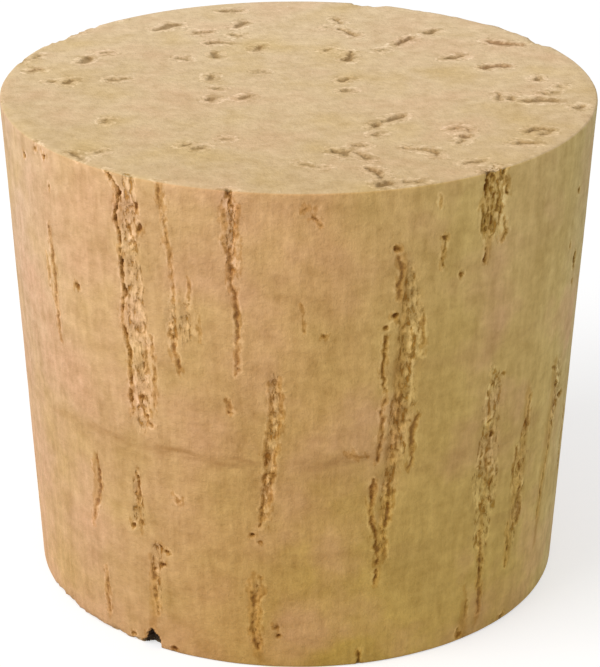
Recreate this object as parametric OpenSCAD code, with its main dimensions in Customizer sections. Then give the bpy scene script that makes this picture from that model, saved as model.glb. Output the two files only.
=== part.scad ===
// Tapered cork stopper, turned from one piece of natural bark.
// Millimetres, +Z up. The origin is the centre of the narrow bottom face, and the front faces -Y.
// The lenticels of the bark run along the axis, so they show as long channels, cracks and pits
// on the side and as short pits where they come out of the two flat faces.

/* [Body] */
// Diameter across the wide top face
top_d = 44.5; // [34:0.5:60]
// Diameter across the narrow bottom face
bottom_d = 40.5; // [32:0.5:58]
// Length from the bottom face to the top face
stopper_length = 38; // [26:0.5:56]
// Width of the broken edge round the top rim
top_edge = 0.2; // [0.1:0.05:0.6]
// Width of the broken edge round the bottom rim
bottom_edge = 0.4; // [0.1:0.05:0.8]

/* [Lenticels] */
// Depth of the broad crumbled channels in the side
channel_depth = 0.3; // [0.15:0.05:0.6]
// Depth of the narrow cracks in the side
crack_depth = 0.7; // [0.3:0.05:1.2]
// Depth of the small pits in the side
side_pit_depth = 0.9; // [0.3:0.05:1.5]
// Depth of the pits in the two flat faces
face_pit_depth = 0.8; // [0.3:0.05:1.5]
// Depth of the chips broken out of the rims
chip_depth = 1.1; // [0.5:0.05:1.8]

/* [Hidden] */
$fn = 96;

top_r = top_d / 2;
bottom_r = bottom_d / 2;
taper = atan((top_r - bottom_r) / stopper_length);
slant_length = stopper_length / cos(taper);
cork_colour = [0.80, 0.63, 0.43];
proud = 0.6; // how far a cutter stands out of the surface
point_share = 0.6; // how far a stroke's pointed end runs on, as a share of its width
pit_corners = 6;
pit_wobble = 0.22; // how uneven a pit's outline is

// A stroke on the side is a list of [degrees round from the front, percent of the length, width],
// and runs from its top end to its bottom end.
// Broad, shallow channels filled with crumbled bark.
channels = [
    [[-32.6, 100, 1.5], [-32.1, 93, 1.8], [-32.2, 85, 1.5], [-32.6, 76, 0.9]],
    [[-31.4, 69, 1.4], [-31.0, 62, 1.9], [-31.2, 53, 1.8], [-31.6, 48, 1.0]],
    [[-29.4, 23, 0.9], [-29.8, 17, 0.7], [-30.0, 11, 0.6]],
    [[-12.0, 100, 0.6], [-12.0, 93, 0.7], [-11.7, 86, 0.5]],
    [[-4.1, 63, 0.5], [-4.2, 57, 0.8], [-4.6, 51, 0.8], [-5.1, 45, 0.7], [-5.8, 38, 0.7]],
    [[-7.8, 17, 0.5], [-8.4, 13, 0.7], [-8.5, 9, 0.7], [-7.9, 4, 0.5]],
    [[21.0, 84, 1.0], [20.6, 78, 1.6], [20.4, 72, 2.2], [20.2, 66, 2.4], [20.0, 58, 2.3],
     [19.6, 51, 2.3], [19.0, 45, 1.8], [17.6, 39, 1.5], [17.0, 32, 1.3], [16.6, 24, 0.8]],
    [[37.9, 100, 1.9], [38.1, 93, 2.0], [38.4, 88, 1.0]],
    [[41.6, 56, 1.0], [41.8, 48, 1.3], [41.4, 39, 1.7], [41.0, 33, 2.0], [41.6, 27, 1.1]],
    [[67.0, 50, 1.6], [67.0, 44, 1.7], [66.0, 39, 1.0]],
    [[84.0, 92, 0.8], [84.4, 80, 1.4], [84.0, 70, 0.8]],
    [[97.0, 60, 0.8], [97.5, 50, 1.5], [97.0, 38, 1.7], [96.6, 28, 0.9]],
    [[112.0, 95, 1.0], [112.4, 88, 1.3], [112.0, 80, 0.7]],
    [[133.0, 78, 0.9], [133.6, 68, 1.8], [133.2, 57, 2.0], [132.8, 46, 1.2]],
    [[146.0, 30, 0.6], [146.3, 20, 1.2], [146.0, 10, 0.7]],
    [[171.0, 56, 0.8], [171.8, 46, 1.6], [171.4, 34, 1.9], [171.0, 22, 1.0]],
    [[184.0, 96, 1.0], [184.3, 88, 1.4], [184.0, 79, 0.8]],
    [[209.0, 28, 0.9], [209.6, 18, 1.5], [209.2, 8, 0.9]],
    [[222.0, 84, 0.9], [222.5, 72, 1.7], [222.2, 60, 1.6], [222.0, 50, 0.8]],
    [[248.0, 74, 0.8], [248.6, 63, 1.4], [248.3, 52, 0.8]],
    [[262.0, 34, 0.9], [262.5, 24, 1.6], [262.0, 13, 0.9]],
    [[273.0, 94, 0.8], [273.4, 84, 1.2], [273.0, 74, 0.6]],
];

// Narrow, deep cracks along the edges of those channels, as
// [channel, edge (-1 left, 1 right), first point, last point, width].
edge_cracks = [
    [0, -1, 0, 3, 0.4], [1, -1, 0, 3, 0.35], [1, 1, 0, 2, 0.25], [2, -1, 0, 2, 0.3],
    [3, -1, 0, 2, 0.3], [4, -1, 0, 4, 0.3], [4, 1, 0, 3, 0.2], [5, -1, 0, 3, 0.2],
    [5, 1, 0, 3, 0.2], [6, -1, 3, 9, 0.35], [6, 1, 5, 7, 0.45], [7, -1, 0, 1, 0.5],
    [7, 1, 0, 2, 0.4], [11, -1, 0, 3, 0.4], [11, 1, 1, 2, 0.35], [12, -1, 0, 2, 0.4],
    [13, -1, 0, 2, 0.4], [13, 1, 1, 3, 0.35], [15, -1, 0, 2, 0.4], [15, 1, 1, 3, 0.35],
    [16, -1, 0, 2, 0.4], [17, -1, 0, 2, 0.4], [18, -1, 0, 2, 0.4], [18, 1, 1, 3, 0.3],
    [19, -1, 0, 2, 0.35], [20, -1, 0, 2, 0.4], [21, 1, 0, 2, 0.35],
];

// Narrow, deep cracks that stand alone, or lie well inside a channel.
cracks = [
    [[-54.2, 83, 0.3], [-53.5, 76, 0.5], [-53.4, 69, 0.35], [-53.1, 62, 0.3]],
    [[-43.8, 38, 0.3], [-44.1, 33, 0.5], [-45.0, 28, 0.35], [-45.8, 25, 0.2]],
    [[-43.7, 10, 0.2], [-44.2, 6, 0.4]],
    [[-26.1, 98, 0.2], [-25.5, 92, 0.25]],
    [[-24.3, 95, 0.2], [-23.5, 86, 0.25]],
    [[-24.0, 73, 0.2], [-24.0, 69, 0.35], [-23.0, 64, 0.5]],
    [[-12.1, 82, 0.35], [-11.3, 77, 0.45], [-11.0, 72, 0.4], [-11.2, 67, 0.2]],
    [[-7.2, 33, 0.3], [-8.6, 29.5, 0.4]],
    [[18.3, 84, 0.3], [18.9, 80, 0.5], [18.6, 77, 0.4]],
    [[19.9, 57, 0.25], [19.5, 49, 0.3]],
    [[18.4, 38, 0.3], [17.8, 32, 0.5], [17.2, 26, 0.3]],
    [[27.1, 91, 0.25], [27.1, 88, 0.4], [27.0, 84, 0.2]],
    [[37.6, 98, 0.5], [37.4, 92, 0.4]],
    [[36.8, 84.5, 0.35], [36.7, 82.5, 0.5]],
    [[42.2, 23, 0.3], [41.7, 18, 0.5], [42.0, 11, 0.6], [42.0, 5, 0.4]],
    [[53.3, 47, 0.3], [53.7, 41, 0.3]],
    [[48.9, 35, 0.4], [49.2, 31, 0.5], [51.2, 27.5, 0.6], [53.3, 25.5, 0.5], [53.5, 21, 0.4]],
    [[50.5, 19.5, 0.3], [50.2, 13, 0.5]],
    [[65.0, 35, 0.4], [64.8, 31, 0.4], [63.2, 26, 0.45], [62.5, 20, 0.4]],
    [[126.0, 90, 0.25], [126.3, 82, 0.4], [126.1, 75, 0.2]],
    [[159.3, 84, 0.25], [159.5, 73, 0.4], [159.0, 63, 0.2]],
    [[198.8, 62, 0.25], [199.0, 54, 0.35], [198.6, 46, 0.2]],
    [[237.7, 37, 0.25], [237.9, 28, 0.35], [237.4, 20, 0.2]],
];

// Small deep pits in the side: [degrees, percent of the length, width, height].
side_pits = [
    [-30.9, 94, 0.5, 0.8], [-31.0, 89.5, 0.5, 0.9], [-30.8, 51, 0.5, 1.2],
    [-23.3, 77, 0.5, 0.5], [-33.2, 36.5, 0.5, 1.5], [-32.8, 29, 0.4, 0.5],
    [-35.2, 27, 0.5, 0.7], [-28.8, 23.5, 0.9, 0.5], [-25.8, 22.6, 0.5, 0.5],
    [18.3, 88, 0.6, 0.4], [18.0, 74.5, 0.6, 0.7], [16.2, 72.4, 0.5, 0.5],
    [20.1, 71.5, 0.4, 0.9], [31.2, 81, 0.5, 0.5], [42.1, 44.8, 0.7, 0.6],
    [41.3, 48.2, 0.7, 0.4], [42.8, 35.5, 0.4, 0.9], [40.6, 30, 0.5, 0.6],
    [42.3, 30, 0.4, 0.9], [68.2, 43, 0.9, 0.7], [68.0, 87, 0.8, 0.6],
    [69.6, 71, 1.1, 1.1], [-4.0, 7, 0.5, 0.5], [92, 82, 0.7, 0.6],
    [107, 58, 0.6, 0.5], [123, 54, 0.5, 0.6], [128, 22, 0.6, 0.8], [150, 76, 0.5, 0.7],
    [155, 14, 0.6, 0.8], [166, 92, 0.6, 0.5], [187, 60, 0.6, 0.8], [205, 74, 0.6, 0.6],
    [217, 36, 0.5, 0.7], [233, 58, 0.5, 0.7], [240, 10, 0.6, 0.6], [257, 66, 0.5, 0.5],
    [265, 80, 0.6, 0.7],
];

// Chips broken out of the rims where a lenticel comes out, as side strokes.
rim_chips = [
    [[-31.8, 4, 0.5], [-32.2, 1, 1.4], [-32.3, -3, 2.2]],
    [[13.2, 2.5, 0.2], [13.2, -1, 0.4]],
    [[36.6, 2.5, 0.3], [36.6, -1, 0.5]],
    [[121.8, 96, 0.5], [121.8, 99, 1.6], [121.8, 103, 2.4]],
    [[165.0, 97, 0.4], [165.0, 99, 1.0], [165.0, 102, 1.6]],
    [[-106.0, 98, 0.4], [-106.0, 102, 0.8]],
    [[-127.0, 97, 0.4], [-127.0, 102, 0.9]],
];

// Pits in the top face: each a stroke of [x, y, width], with x and y in percent of the top radius.
face_pits = [
    [[-50, 65, 0.9], [-47, 67, 1.0], [-44, 71, 0.5]],
    [[-22, 67, 0.5], [-20, 73, 0.5]],
    [[-34, 60, 0.5], [-34, 64, 0.5]],
    [[-27, 86, 0.6], [-24, 87, 0.5]],
    [[-32, 48, 0.4], [-27, 49, 0.5]],
    [[-30, 38, 0.4], [-29, 33, 0.5]],
    [[-14.5, 38, 0.3], [-14.5, 44, 0.3]],
    [[-74, 26, 0.4], [-73.5, 29, 0.4]],
    [[-77, 3, 0.5], [-76.5, 8, 0.4]],
    [[-62, 8, 0.4], [-59, 8, 0.5]],
    [[-29.5, 9, 0.4], [-29.5, 12, 0.4]],
    [[-28.8, -14, 0.5], [-28.5, -11, 0.4]],
    [[-18.5, -12, 0.6], [-17, -9, 0.5]],
    [[-90, 31, 0.4], [-89.5, 34, 0.4]],
    [[-36, -60, 0.3], [-36, -57, 0.3]],
    [[-33, -62, 0.2], [-30, -61, 0.3]],
    [[-69, -62, 0.4], [-67.5, -67, 0.3]],
    [[14.5, 72, 0.4], [14, 77, 0.3]],
    [[15.5, 62, 0.4], [15.5, 67, 0.3]],
    [[19, 56, 0.3], [18.5, 61, 0.4]],
    [[47, 61, 0.6], [48.5, 65, 0.5]],
    [[35, 48, 0.5], [36, 53, 0.4]],
    [[16.5, 28, 0.5], [17.5, 34, 0.5]],
    [[16, 6, 0.5], [16, 10, 0.4]],
    [[52, 30, 0.3], [54, 35, 0.5], [59, 35, 0.6]],
    [[66, 50, 0.7], [71, 49, 0.8], [76, 49, 0.4]],
    [[63, 22, 0.4], [66, 23, 0.5]],
    [[70, 21, 0.3], [70.5, 25, 0.3]],
    [[67, -12, 0.3], [67.5, -5, 0.3]],
    [[82, -6, 0.4], [84, -5, 0.4]],
    [[76, -15, 0.5], [78.5, -13, 0.7], [82, -13, 0.4]],
    [[92, -20, 0.4], [93, -18, 0.4]],
    [[31.5, -28, 0.4], [29.5, -33, 0.6], [27, -38, 0.3]],
    [[24, -41, 0.3], [24.5, -37, 0.5]],
    [[50.5, -47, 0.2], [50.5, -42, 0.3], [53, -39, 0.2]],
    [[53, -50, 0.3], [53.8, -46, 0.4]],
    [[73.5, -45, 0.2], [75, -41, 0.3], [79, -42, 0.3]],
    [[76, -46.5, 0.3], [79.5, -45, 0.3]],
    [[69, -54, 0.2], [72, -52, 0.3], [74.5, -55, 0.4]],
    [[35, -60, 0.3], [38, -60, 0.4], [43, -63, 0.3], [44, -68, 0.3]],
    [[12, -62, 0.3], [14.3, -64, 0.7], [13.5, -68, 0.4]],
    [[17.5, -58, 0.3], [20, -57.5, 0.4]],
    [[18.5, -63, 0.3], [20.5, -66, 0.3], [22, -70, 0.3]],
    [[20.5, -78, 0.3], [22.5, -79, 0.4], [24, -82, 0.3]],
    [[26, -91, 0.5], [27.5, -90, 0.6]],
    [[33, -90, 0.3], [33, -87, 0.2]],
    [[53, -73, 0.4], [55, -72.5, 0.3]],
    [[1, -75, 0.2], [4, -77, 0.2], [7, -77.5, 0.3]],
];

// Some of the lenticels run the whole length and come out of the bottom face, a little way along.
bottom_every = 3; // one in so many of the top face's pits runs through
bottom_drift = 3; // in percent of the bottom radius
bottom_reach = 90; // pits further out than this percent would break the rim

function radius_at(percent) = bottom_r + (top_r - bottom_r) * percent / 100;
function unit(v) = v / norm(v);
// The direction of a stroke at its point i
function heading(points, i) =
    unit(points[min(i + 1, len(points) - 1)] - points[max(i - 1, 0)]);
function crosswise(v) = [-v[1], v[0]];
// The angle that a side stroke is cut in at, and its points on the flat plane facing that angle
function mean_angle(stroke) =
    (min([for (p = stroke) p[0]]) + max([for (p = stroke) p[0]])) / 2;
function flat_points(stroke, angle) =
    [for (p = stroke) [(p[0] - angle) * PI / 180 * radius_at(p[1]), p[1] / 100 * slant_length]];

// The outline round a stroke that has a width at each point, pointed at both ends
function stroke_outline(points, widths) =
    let (last = len(points) - 1)
    concat(
        [points[0] - heading(points, 0) * widths[0] * point_share],
        [for (i = [0:last]) points[i] - crosswise(heading(points, i)) * widths[i] / 2],
        [points[last] + heading(points, last) * widths[last] * point_share],
        [for (i = [last:-1:0]) points[i] + crosswise(heading(points, i)) * widths[i] / 2]
    );

function pit_outline(width, height, seed) =
    [for (i = [0:pit_corners - 1])
        let (turn = 360 * i / pit_corners, reach = 1 + pit_wobble * sin(137 * i + 53 * seed))
        [width / 2 * reach * cos(turn), height / 2 * reach * sin(turn)]];

// Puts a flat outline on the side at an angle, with its y along the slope, and cuts it in radially
module on_side(angle, depth) {
    rotate([0, 0, angle])
        translate([0, -bottom_r, 0])
            rotate([90 + taper, 0, 0])
                translate([0, 0, -depth])
                    linear_extrude(depth + proud)
                        children();
}

module side_stroke(stroke, depth) {
    angle = mean_angle(stroke);
    on_side(angle, depth)
        polygon(stroke_outline(flat_points(stroke, angle), [for (p = stroke) p[2]]));
}

module edge_crack(crack) {
    channel = channels[crack[0]];
    angle = mean_angle(channel);
    middle_line = flat_points(channel, angle);
    points = [for (i = [crack[2]:crack[3]])
        middle_line[i] + crosswise(heading(middle_line, i)) * crack[1] * channel[i][2] / 2];
    on_side(angle, crack_depth)
        polygon(stroke_outline(points, [for (p = points) crack[4]]));
}

module side_pit(pit, depth, seed) {
    on_side(pit[0], depth)
        translate([0, pit[1] / 100 * slant_length])
            polygon(pit_outline(pit[2], pit[3], seed));
}

module side_cutters() {
    for (stroke = channels)
        side_stroke(stroke, channel_depth);
    for (crack = edge_cracks)
        edge_crack(crack);
    for (stroke = cracks)
        side_stroke(stroke, crack_depth);
    for (i = [0:len(side_pits) - 1])
        side_pit(side_pits[i], side_pit_depth, i);
    for (stroke = rim_chips)
        side_stroke(stroke, chip_depth);
}

module top_cutters() {
    for (pit = face_pits)
        translate([0, 0, stopper_length - face_pit_depth])
            linear_extrude(face_pit_depth + proud)
                polygon(stroke_outline(
                    [for (p = pit) [p[0], p[1]] / 100 * top_r], [for (p = pit) p[2]]));
}

module bottom_cutters() {
    for (i = [0:bottom_every:len(face_pits) - 1]) {
        pit = face_pits[i];
        drift = bottom_drift * [sin(151 * i), cos(101 * i)];
        points = [for (p = pit) [p[0], p[1]] * top_r / bottom_r + drift];
        if (max([for (p = points) norm(p)]) < bottom_reach)
            translate([0, 0, -proud])
                linear_extrude(face_pit_depth + proud)
                    polygon(stroke_outline(
                        [for (p = points) p / 100 * bottom_r], [for (p = pit) p[2]]));
    }
}

module blank() {
    rotate_extrude()
        polygon([
            [0, 0],
            [bottom_r - bottom_edge, 0],
            [bottom_r, bottom_edge],
            [top_r, stopper_length - top_edge],
            [top_r - top_edge, stopper_length],
            [0, stopper_length],
        ]);
}

module cork_stopper() {
    color(cork_colour)
        difference() {
            blank();
            side_cutters();
            top_cutters();
            bottom_cutters();
        }
}

cork_stopper();
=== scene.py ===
import math
import random

import bmesh
import bpy
import numpy as np
from mathutils import Matrix, Vector, noise


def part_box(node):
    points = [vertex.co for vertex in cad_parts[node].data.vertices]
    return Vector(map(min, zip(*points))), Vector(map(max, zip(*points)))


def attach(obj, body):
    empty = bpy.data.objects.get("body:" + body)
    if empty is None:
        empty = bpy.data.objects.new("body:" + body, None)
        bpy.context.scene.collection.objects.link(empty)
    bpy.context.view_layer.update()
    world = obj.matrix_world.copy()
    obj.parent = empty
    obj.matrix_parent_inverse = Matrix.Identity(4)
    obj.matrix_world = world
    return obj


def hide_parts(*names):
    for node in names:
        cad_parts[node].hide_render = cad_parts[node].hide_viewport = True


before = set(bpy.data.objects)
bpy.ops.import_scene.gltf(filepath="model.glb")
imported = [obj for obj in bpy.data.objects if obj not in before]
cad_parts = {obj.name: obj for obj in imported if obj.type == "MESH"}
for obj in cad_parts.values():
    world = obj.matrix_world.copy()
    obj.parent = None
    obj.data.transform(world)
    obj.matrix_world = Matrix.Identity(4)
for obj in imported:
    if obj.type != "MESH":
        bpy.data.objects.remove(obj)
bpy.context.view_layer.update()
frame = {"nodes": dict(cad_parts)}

# A tapered stopper turned from one piece of bark cork, standing on a pale studio floor.
# Lengths are in millimetres until a mesh is finished, and degrees run from the front towards +X.

perMetre = 1000  # millimetres in a metre
low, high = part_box("cork_stopper")
print("frame loaded:", ", ".join(frame["nodes"]))

stopper = {
    "topRadius": (high.x - low.x) / 2 * perMetre,
    "bottomRadius": 20.25,
    "length": (high.z - low.z) * perMetre,
    "rimEdge": 0.22,  # broken edge round both rims
    "around": 144,  # steps of the turned blank
    "rows": 40,  # rows up the side
    "rings": 22,  # rings across each flat face
    "cells": (0.5, 0.26, 0.14),  # cell size near the marks, coarse to fine
    "reach": (0.9, 0.45, 0.16),  # how far from a mark each cell size goes
    "margin": 1.3,  # how far from a mark the gap to it is still worked out
    "blur": 0.5,  # a mark's rust and darkness fade away over this
    "seed": 11,  # the same stray marks on every run
    "wander": 0.17,  # how far the marks stray from their lines
    "wanderWaves": ((1.0, 0.7), (0.9, 2.2)),  # broad and fine waves: how strong, how many in a millimetre
    "fray": (0.07, 0.13),  # how much their width comes and goes, on the side and on the ends
    "frayWaves": ((1.0, 1.3), (0.8, 4.2)),
    "cutDepth": (0.07, 0.65, 0.4),  # least, more for each millimetre of width, and most
    "crumbDepth": 0.25,  # of the crumbled channels
    "crumbLumps": 0.6,  # the share of that which is cut on the whole: lumps make it more or less
    "lumpWaves": ((0.9, 1.5), (0.5, 4.0)),
    "sag": 0.05,  # hollows left in the side by the knife
    "sagWaves": 0.13,  # in a millimetre
    "skin": 0.012,  # unevenness all over
    "skinWaves": 0.8,
    "pitLook": (0.1, 0.85),  # rust and darkness of the small pits in the side
    "edgeLook": (0.3, 0.8),  # and of the cracks along the far channels
    "pitSpread": 1.25,  # the pits in the two ends have crumbled wider than they were bored
    "pitDepth": (0.35, 0.55),  # their depth against a crack of their width, left and right of the middle
    "pitDark": 0.7,  # their darkness
    "through": (3, 18.2),  # every third pit in the top comes out at the bottom, if this near the middle
    "drift": (0.6, 151, 101),  # how far it has strayed by then, and how its stray turns from pit to pit
    # Short hairlines all over the far side, each drawn from these ranges. The look is rust and darkness.
    "hairlines": {"count": 46, "degrees": (80, 280), "height": (2, 35), "tall": (0.8, 3.0),
                  "lean": (-0.5, 0.5), "widths": (0.1, 0.12), "look": (0.1, 0.5)},
    # Narrow cracks in the side: [degrees, height, width] down the crack, then how rusty and how dark it is.
    "cracks": [
        ([(-54.0, 31.8, .2), (-53.5, 30.0, .3), (-53.3, 28.0, .35), (-53.5, 26.0, .25),
          (-53.0, 23.0, .15)], .6, .5),
        ([(-55.5, 29.5, .12), (-55.3, 27.0, .15)], .3, .4),
        ([(-36.0, 37.8, .25), (-33.9, 36.5, .22), (-35.0, 34.4, .2), (-33.9, 33.3, .25), (-34.3, 30.5, .32),
          (-33.5, 28.8, .32), (-34.2, 28.0, .2), (-34.8, 26.7, .12)], .1, 1.35),
        ([(-34.4, 26.5, .15), (-33.9, 25.4, .28), (-33.3, 23.0, .3), (-33.8, 21.5, .25),
          (-33.5, 19.4, .15)], .2, 1.0),
        ([(-32.1, 34.5, .12), (-30.8, 33.3, .15), (-31.8, 32.7, .12)], .1, .6),
        ([(-28.1, 26.0, .12), (-28.0, 23.0, .14), (-28.3, 20.3, .12)], .3, .6),
        ([(-29.8, 26.0, .1), (-29.8, 22.5, .12)], .3, .4),
        ([(-31.8, 20.5, .2), (-30.5, 19.5, .25), (-29.2, 18.9, .25)], .2, .6),
        ([(-25.7, 37.8, .14), (-25.0, 35.5, .12), (-24.0, 33.5, .16), (-23.1, 30.7, .16),
          (-23.0, 29.4, .15)], .2, .6),
        ([(-24.7, 37.2, .1), (-24.1, 34.3, .1)], .1, .4),
        ([(-20.0, 30.8, .1), (-20.2, 29.2, .12)], .1, .5),
        ([(-24.2, 27.2, .15), (-23.6, 26.3, .3)], .2, .8),
        ([(-23.7, 25.7, .35), (-22.8, 24.2, .4), (-22.5, 23.6, .2)], .8, .6),
        ([(-18.5, 28.5, .1), (-18.3, 26.5, .1)], .1, .4),
        ([(-12.3, 38.0, .45), (-11.9, 36.9, .3)], .1, .75),
        ([(-13.1, 36.6, .12), (-13.0, 34.0, .14), (-12.4, 33.4, .16)], .2, .6),
        ([(-10.7, 36.7, .12), (-10.8, 33.3, .12), (-11.0, 31.5, .1)], .2, .5),
        ([(-12.2, 33.3, .24), (-12.2, 31.3, .28), (-11.3, 29.8, .25), (-10.8, 28.2, .34),
          (-10.9, 27.0, .28)], .4, .55),
        ([(-11.0, 26.9, .25), (-11.2, 26.0, .2), (-11.4, 24.0, .1)], .9, .5),
        ([(-5.0, 23.6, .14), (-5.2, 20.4, .16), (-5.8, 18.3, .2), (-6.2, 15.5, .2), (-6.8, 13.4, .2),
          (-7.4, 12.0, .25)], .2, .55),
        ([(-3.2, 24.0, .12), (-2.9, 22.0, .14), (-3.6, 19.0, .14), (-4.6, 16.3, .18), (-5.2, 14.0, .16),
          (-5.5, 12.8, .12)], .2, .5),
        ([(-9.5, 7.2, .12), (-8.7, 5.5, .18), (-9.2, 3.5, .18), (-8.2, 1.5, .14)], .2, .6),
        ([(-7.2, 7.7, .12), (-6.8, 6.5, .16), (-7.8, 5.4, .16), (-7.5, 4.2, .14),
          (-7.2, 2.0, .14)], .2, .5),
        ([(18.3, 32.8, .25), (19.1, 31.6, .35), (18.8, 29.6, .3)], .6, .5),
        ([(18.8, 28.0, .15), (20.0, 27.2, .2)], .1, .8),
        ([(16.4, 26.8, .2), (16.1, 24.0, .24), (16.8, 22.5, .2)], .2, .8),
        ([(16.6, 22.0, .18), (16.1, 19.5, .22), (15.6, 17.0, .18)], .4, .65),
        ([(19.9, 22.6, .14), (19.7, 21.0, .22), (19.8, 19.4, .14)], .4, .55),
        ([(15.1, 15.6, .2), (14.7, 13.0, .24), (16.0, 10.5, .28), (16.1, 8.5, .28),
          (16.0, 6.8, .18)], .6, .7),
        ([(23.8, 28.0, .12), (23.8, 25.0, .12)], .4, .5),
        ([(19.3, 19.0, .2), (19.1, 16.8, .2)], .4, .55),
        ([(23.5, 20.5, .25), (22.5, 18.5, .35), (22.2, 16.0, .2)], .8, .5),
        ([(18.1, 14.8, .3), (18.2, 13.0, .35), (18.0, 11.5, .25)], .3, .7),
        ([(19.2, 14.5, .2), (19.1, 13.0, .15)], .3, .4),
        ([(17.8, 10.5, .2), (17.6, 8.8, .15)], .3, .4),
        ([(21.9, 27.0, .12), (21.6, 23.5, .14)], .3, .5),
        ([(25.9, 37.0, .12), (26.2, 36.2, .12)], .1, .4),
        ([(27.2, 33.4, .14), (27.1, 31.5, .18)], .2, .7),
        ([(35.6, 38.0, .5), (35.8, 36.5, .45), (35.6, 36.0, .2)], .1, 1.0),
        ([(35.0, 35.7, .25), (35.5, 33.5, .2)], .1, .8),
        ([(36.6, 36.0, .15), (36.8, 33.5, .15)], .1, .7),
        ([(37.8, 36.5, .15), (37.7, 34.9, .3), (37.6, 33.0, .15)], .1, .8),
        ([(38.6, 37.5, .15), (38.8, 35.0, .12)], .1, .6),
        ([(39.7, 38.0, .4), (39.8, 37.2, .25)], .1, 1.0),
        ([(41.0, 36.9, .3), (41.0, 36.0, .2)], .2, .8),
        ([(40.7, 34.2, .15), (40.7, 32.5, .2)], .2, .5),
        ([(36.7, 32.2, .3), (36.6, 31.4, .35)], .1, .9),
        ([(37.2, 37.9, .3), (37.3, 36.6, .35)], .1, .9),
        ([(38.9, 36.8, .2), (38.7, 34.9, .25)], .1, .9),
        ([(36.2, 34.8, .2), (36.3, 33.0, .25)], .1, .9),
        ([(38.1, 34.4, .2), (38.2, 32.9, .2)], .1, .7),
        ([(39.9, 36.6, .2), (39.6, 34.6, .2)], .1, .6),
        ([(41.4, 8.8, .25), (41.5, 6.5, .4), (41.6, 3.5, .35), (41.8, 1.8, .25)], .5, .45),
        ([(53.5, 18.5, .25), (53.6, 15.8, .3)], .3, .4),
        ([(50.2, 14.8, .2), (49.9, 12.6, .25), (50.3, 11.0, .15)], .4, .45),
        ([(52.4, 13.4, .15), (52.9, 11.2, .3), (53.3, 9.6, .35), (53.0, 8.0, .2)], .4, .5),
        ([(49.4, 8.5, .12), (49.9, 6.8, .22), (49.6, 4.8, .25)], .2, .6),
        ([(62.5, 19.6, .15), (64.0, 19.3, .3), (66.5, 18.6, .25)], .3, .5),
        ([(66.5, 18.6, .25), (67.0, 16.5, .3), (66.6, 14.5, .2)], .3, .5),
        ([(65.0, 15.0, .25), (65.0, 13.0, .35), (64.0, 11.0, .3), (63.0, 9.5, .35),
          (62.5, 7.0, .25)], .3, .5),
        ([(76.8, 14.2, .3), (76.4, 11.0, .6), (76.8, 8.6, .3)], .1, 1.2),
        ([(-44.0, 14.8, .2), (-43.8, 12.2, .3), (-44.6, 11.0, .3), (-46.3, 9.3, .2),
          (-46.8, 8.7, .12)], .7, .5),
        ([(-45.2, 14.2, .12), (-45.4, 13.0, .15)], .3, .3),
        ([(-33.1, 14.2, .35), (-33.3, 13.3, .3)], .2, .9),
        ([(-33.4, 12.9, .2), (-33.5, 12.2, .2)], .2, .5),
        ([(-30.8, 7.2, .2), (-30.6, 4.8, .25), (-30.4, 3.0, .12)], .2, .6),
        ([(-43.8, 5.2, .12), (-43.7, 3.2, .28), (-43.9, 1.6, .25)], .4, .5),
        ([(13.2, 1.1, .2), (13.2, 0.0, .3)], .1, .8),
        ([(36.5, 1.2, .2), (36.7, 0.4, .35)], .2, .8),
        ([(38.3, 3.5, .15), (38.3, 2.0, .15)], .2, .4),
        ([(0.4, 36.6, .12), (1.2, 37.0, .14), (3.2, 36.9, .12)], .3, .5),
        ([(2.8, 36.2, .12), (4.0, 35.6, .2)], .3, .5),
        ([(-25.0, 13.6, .12), (-24.0, 13.0, .16), (-22.6, 13.4, .12)], .2, .5),
        ([(-13.4, 22.0, .2), (-13.0, 21.0, .25)], .5, .4),
        ([(0.8, 29.5, .1), (1.0, 27.5, .12)], .5, .2),
        ([(10.0, 17.9, .12), (11.5, 17.6, .2), (13.4, 17.6, .14)], .3, .5),
    ],
    # Small pits in the side: (degrees, height, width, tallness).
    "pits": [
        (-30.3, 35.7, .4, .6), (-29.7, 34.1, .35, .9), (-31.0, 20.8, .35, .5), (-30.0, 19.5, .4, .4),
        (-29.0, 20.0, .3, .4), (-23.2, 29.2, .3, .35), (-20.2, 29.1, .3, .35), (-7.4, 12.0, .35, .35),
        (-8.8, 11.2, .4, .35), (-7.2, 10.7, .3, .3), (-4.7, 16.2, .3, .4), (-4.0, 2.7, .35, .35),
        (-4.4, 3.6, .25, .3), (18.1, 33.5, .35, .35), (18.1, 28.4, .45, .45), (16.4, 27.5, .35, .35),
        (31.3, 30.7, .3, .35), (27.2, 33.7, .35, .35), (35.5, 34.0, .3, .5), (37.6, 34.8, .35, .35),
        (41.3, 33.0, .3, .4), (43.7, 21.5, .3, .3), (41.0, 21.0, .25, .35), (40.0, 20.4, .25, .3),
        (41.0, 18.2, .5, .35), (42.1, 16.9, .5, .4), (39.7, 15.5, .3, .25), (38.9, 14.7, .3, .2),
        (43.1, 13.0, .25, .6), (40.7, 11.2, .35, .35), (42.8, 11.4, .2, .5), (41.9, 14.6, .25, .3),
        (66.5, 17.5, .5, .4), (70.0, 16.3, .8, .6), (67.0, 16.0, .4, .4), (68.0, 33.0, .6, .5),
        (66.0, 29.0, .4, .4), (70.0, 27.3, .8, 1.3), (70.0, 25.5, .5, .4), (-32.8, 10.6, .4, .4),
        (-34.9, 10.1, .3, .4), (-28.8, 8.9, .5, .3), (-27.0, 8.6, .4, .4), (-28.5, 7.5, .4, .35),
        (50.0, 0.3, .5, .5), (4.8, 27.2, .3, .3), (-12.5, 21.0, .3, .3), (-53.0, 35.0, .3, .4),
        (-54.0, 37.2, .4, .4), (-57.0, 37.5, .4, .4), (-62.0, 36.3, .4, .4), (-46.0, 28.2, .4, .5),
        (-26.5, 0.3, .4, .4), (-36.8, 0.5, .35, .25),
    ],
    # Broad channels whose bark has crumbled: (degrees, height, width) down the channel.
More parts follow.
